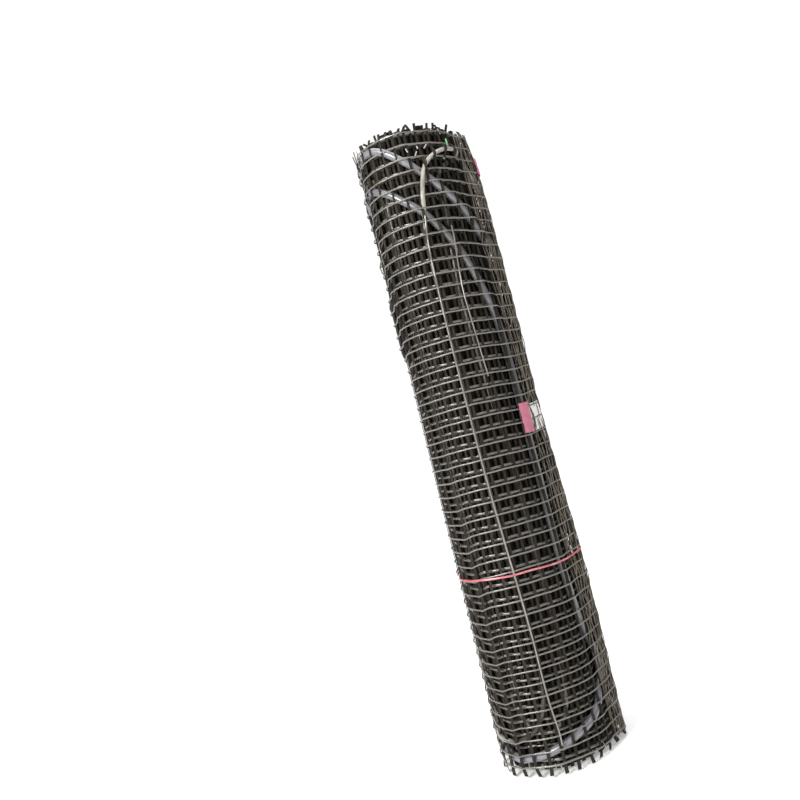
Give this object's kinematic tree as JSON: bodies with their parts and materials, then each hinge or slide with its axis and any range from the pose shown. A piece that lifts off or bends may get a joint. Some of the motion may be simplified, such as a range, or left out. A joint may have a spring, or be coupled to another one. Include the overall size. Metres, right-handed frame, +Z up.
{
  "type": "underfloor heating mat",
  "caption": "Rolled-up electric underfloor heating mat: coated mesh wound with its thin heating cable, a cold lead laid round the roll, a tie band and a lead label.",
  "frame": {"origin": "middle of the bottom end's outline, on the surface that the roll stands on", "axes": "+Z up along the roll's axis, -Y towards the side that the picture shows"},
  "size_m": [0.1014, 0.0996, 0.5],
  "materials": {
    "mesh": "dark brown coated glass-fibre mesh, dull with worn pale threads",
    "heater_sheath": "grey-beige smooth sheath",
    "lead_sheath": "dark grey flexible sheath",
    "splice_sleeve": "black shrunk sleeve",
    "core_brown": "brown wire insulation",
    "core_earth": "green and yellow striped wire insulation",
    "core_blue": "blue wire insulation",
    "band": "glossy pinkish-red tie",
    "label": "white film with a pink end, blank",
    "tape": "pink film"
  },
  "bodies": {
    "root": {"rolled_mat": "mesh", "heating_cable": "heater_sheath", "cold_lead": "lead_sheath", "cable_splice": "splice_sleeve", "lead_core_brown": "core_brown", "lead_core_earth": "core_earth", "lead_core_blue": "core_blue", "tie_band": "band", "lead_label": "label", "marker_tape": "tape"}
  },
  "joints": []
}
